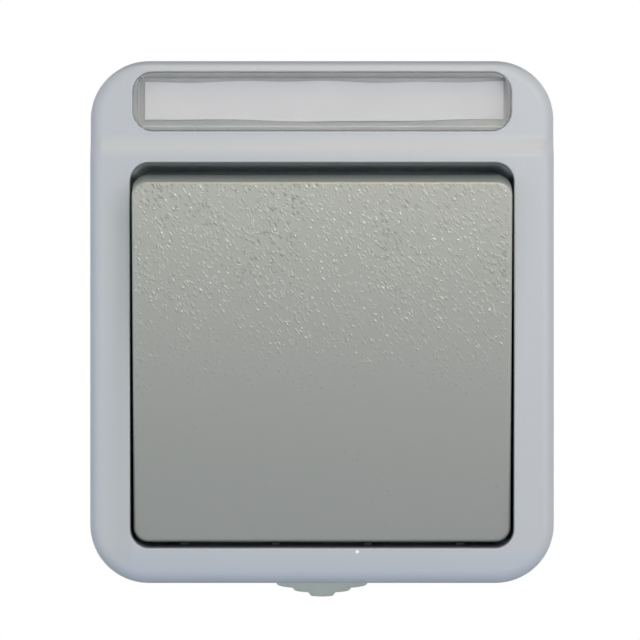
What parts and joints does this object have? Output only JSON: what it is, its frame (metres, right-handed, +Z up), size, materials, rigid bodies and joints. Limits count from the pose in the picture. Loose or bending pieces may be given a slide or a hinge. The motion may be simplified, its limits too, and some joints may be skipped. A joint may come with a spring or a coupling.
{
  "type": "outdoor weatherproof switch",
  "caption": "Surface-mounted splash-proof light switch with a wide rocker, a label field above it and a stepped rubber cable grommet below.",
  "frame": {"origin": "centre of the box's back face, on the wall", "axes": "+Y into the wall, +Z up, +X to the right as seen from the front"},
  "size_m": [0.074, 0.0529, 0.0886],
  "materials": {
    "cover_plastic": "satin moulded plastic, light blue grey",
    "rocker_plastic": "eroded moulded plastic, green grey",
    "box_plastic": "satin moulded plastic, blue grey",
    "clear_plastic": "clear polished plastic",
    "label_paper": "plain white paper",
    "grommet_rubber": "soft grey rubber",
    "seal_rubber": "black rubber",
    "seal_foam": "dark closed-cell foam",
    "screw_steel": "zinc-plated steel",
    "carrier_steel": "zinc-plated sheet steel",
    "spring_steel": "drawn spring wire",
    "terminal_brass": "bare brass",
    "contact_silver": "silver alloy",
    "base_plastic": "white moulded thermoset",
    "cradle_plastic": "white bearing-grade plastic"
  },
  "bodies": {
    "housing": {"cover_frame": "cover_plastic", "label_window": "clear_plastic", "label_strip": "label_paper", "rear_box": "box_plastic", "box_seal": "seal_rubber", "cable_grommet": "grommet_rubber", "cover_screws": "screw_steel", "carrier_screws": "screw_steel", "fixed_contact_tips": "contact_silver", "carrier_plate": "carrier_steel", "carrier_rivets": "screw_steel", "mechanism_seal": "seal_foam", "mechanism_base": "base_plastic", "upper_terminal": "terminal_brass", "lower_terminal": "terminal_brass", "common_terminal": "terminal_brass", "terminal_blocks": "terminal_brass", "terminal_screws": "screw_steel"},
    "rocker": {"rocker_plate": "rocker_plastic", "rocker_cradle": "cradle_plastic", "plunger_spring": "spring_steel"},
    "plunger": {"toggle_plunger": "cradle_plastic"},
    "seesaw": {"contact_seesaw": "terminal_brass", "moving_contact_tips": "contact_silver"}
  },
  "joints": [
    {"name": "rocker_tilt", "type": "hinge", "parent": "housing", "child": "rocker", "pos_m": [0, -0.0419, -0.00527], "axis": [-1, 0, 0], "range_deg": [0, 9]},
    {"name": "plunger_slide", "type": "slide", "parent": "rocker", "child": "plunger", "axis": [0, -0.9969, -0.0785], "range_m": [0, 0.0015], "stiffness_N_per_m": 400, "springref_m": -0.0005, "deforming": ["plunger_spring"]},
    {"name": "seesaw_tilt", "type": "hinge", "parent": "housing", "child": "seesaw", "pos_m": [0, -0.02755, -0.00527], "axis": [-1, 0, 0], "range_deg": [-18, 0]}
  ],
  "couplings": [
    {"joint": "seesaw_tilt", "follows": "rocker_tilt", "ratio": -2}
  ]
}
